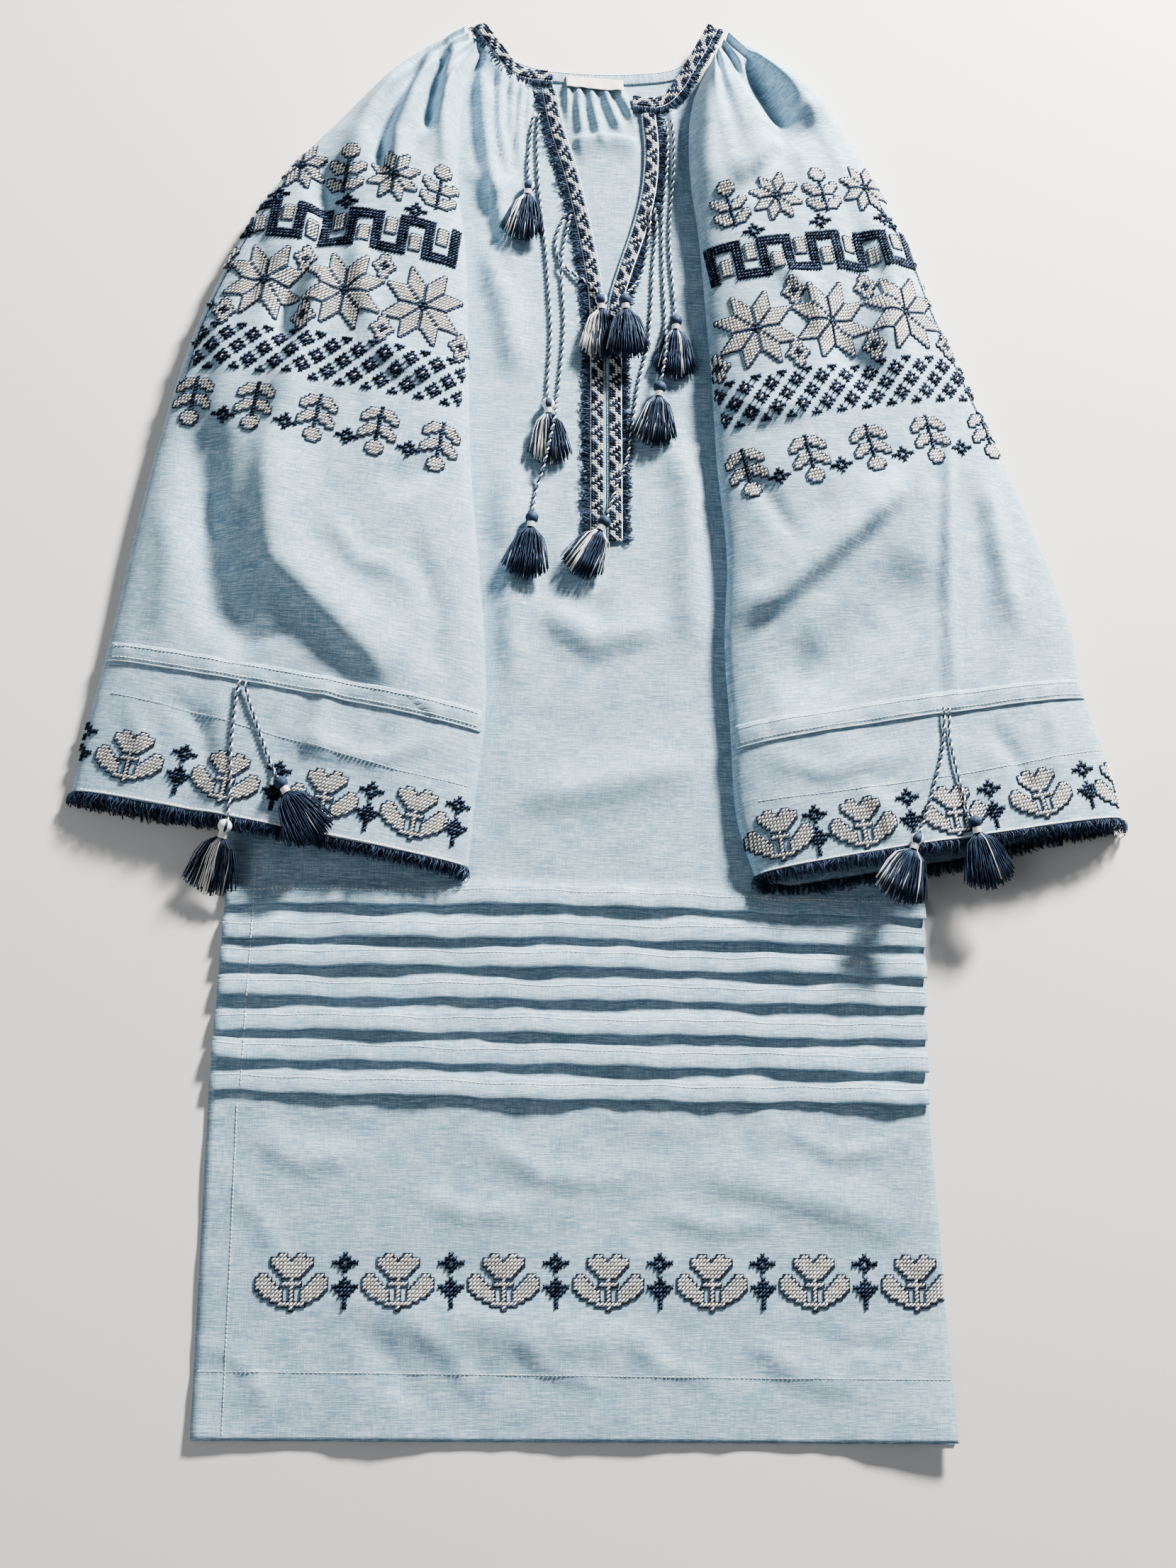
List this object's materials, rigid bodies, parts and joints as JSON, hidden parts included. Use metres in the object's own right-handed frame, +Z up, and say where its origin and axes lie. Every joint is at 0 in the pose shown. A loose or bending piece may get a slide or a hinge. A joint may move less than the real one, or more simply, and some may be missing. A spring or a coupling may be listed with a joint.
{
  "type": "embroidered linen dress laid flat on a surface",
  "caption": "Loose linen dress laid flat on its back: gathered raglan sleeves, V neck with stitched bands, tucked skirt, twisted cords with tassels.",
  "frame": {"origin": "middle of the dress as it lies, on the surface under it; the length from neck to hem is centred", "axes": "+Y from the hem to the neck, +X to the right as the front is looked at, +Z up from the surface"},
  "size_m": [0.752, 1.0961, 0.037],
  "materials": {
    "linen": "matt slubby plain weave",
    "linen_inside": "matt slubby plain weave, inner face",
    "navy_thread": "soft satin of twisted cotton thread",
    "label_cream": "matt woven tape, blank",
    "stitched_band": "matt linen covered with thread"
  },
  "bodies": {
    "root": {"back_panel": "linen_inside", "front_panel": "linen", "sleeve_left": "linen", "sleeve_right": "linen", "casing_left": "linen", "casing_right": "linen", "cuff_fringe_left": "navy_thread", "cuff_fringe_right": "navy_thread", "neckband_back": "linen_inside", "neckband_left": "stitched_band", "neckband_right": "stitched_band", "trim_left": "stitched_band", "trim_right": "stitched_band", "trim_fringe_left": "navy_thread", "trim_fringe_right": "navy_thread", "label": "label_cream", "cord_neck_left_short": "navy_thread", "cord_neck_left_long": "navy_thread", "cord_eyelet_left_short": "navy_thread", "cord_eyelet_left_long": "navy_thread", "cord_neck_right_short": "navy_thread", "cord_neck_right_long": "navy_thread", "cord_eyelet_right_long": "navy_thread", "cord_eyelet_right_short": "navy_thread", "cord_cuff_left_outer": "navy_thread", "cord_cuff_left_inner": "navy_thread", "cord_cuff_right_inner": "navy_thread", "cord_cuff_right_outer": "navy_thread", "tassel_neck_left_short": "navy_thread", "tassel_neck_left_long": "navy_thread", "tassel_eyelet_left_short": "navy_thread", "tassel_eyelet_left_long": "navy_thread", "tassel_neck_right_short": "navy_thread", "tassel_neck_right_long": "navy_thread", "tassel_eyelet_right_long": "navy_thread", "tassel_eyelet_right_short": "navy_thread", "tassel_cuff_left_outer": "navy_thread", "tassel_cuff_left_inner": "navy_thread", "tassel_cuff_right_inner": "navy_thread", "tassel_cuff_right_outer": "navy_thread"}
  },
  "joints": []
}
